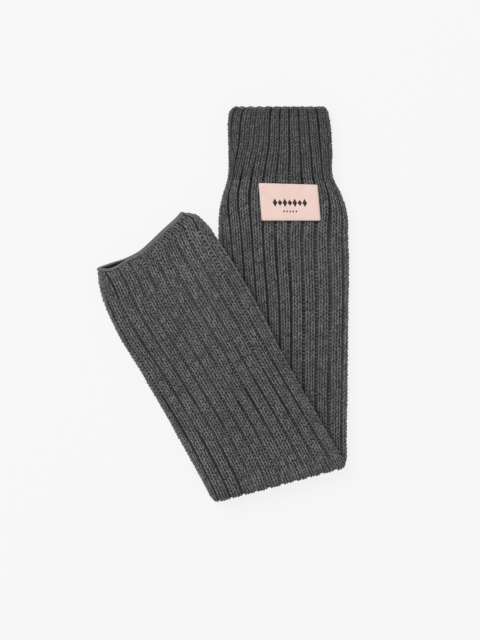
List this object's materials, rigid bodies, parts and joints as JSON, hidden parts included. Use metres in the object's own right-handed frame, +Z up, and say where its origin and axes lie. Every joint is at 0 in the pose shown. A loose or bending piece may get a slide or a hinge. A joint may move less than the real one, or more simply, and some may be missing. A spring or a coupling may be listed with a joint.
{
  "type": "fingerless knit arm warmer",
  "caption": "Long fingerless sleeve in dark grey rib knit, laid flat and folded once over a slanted crease, with a narrower cuff, a rolled hem and a sewn-on label.",
  "frame": {"origin": "centre of the folded sleeve's bounding box, on the surface it lies on", "axes": "+Z up, +Y along the lower half towards the cuff, +X to the right as seen from above with the cuff at the top"},
  "size_m": [0.2097, 0.3283, 0.0263],
  "materials": {
    "knit": "matte dark heather rib knit",
    "hem": "matte smooth rolled knit edge",
    "elastic": "matte covered elastic yarn",
    "label": "soft sheen woven satin",
    "thread": "matte sewing thread"
  },
  "bodies": {
    "lower_half": {"cuff_edge": "knit", "ribbed_cuff": "knit", "leg_lower": "knit", "fold_band": "knit", "cuff_elastic_1": "elastic", "cuff_elastic_2": "elastic", "cuff_elastic_3": "elastic", "woven_label": "label", "label_thread": "thread"},
    "upper_half": {"leg_upper": "knit", "rolled_hem": "hem"}
  },
  "joints": [
    {"name": "crease", "type": "hinge", "parent": "lower_half", "child": "upper_half", "pos_m": [0.0469, -0.1373, 0.01315], "axis": [0.9655, 0.2605, 0], "range_deg": [0, 179], "deforming": ["fold_band"]}
  ]
}
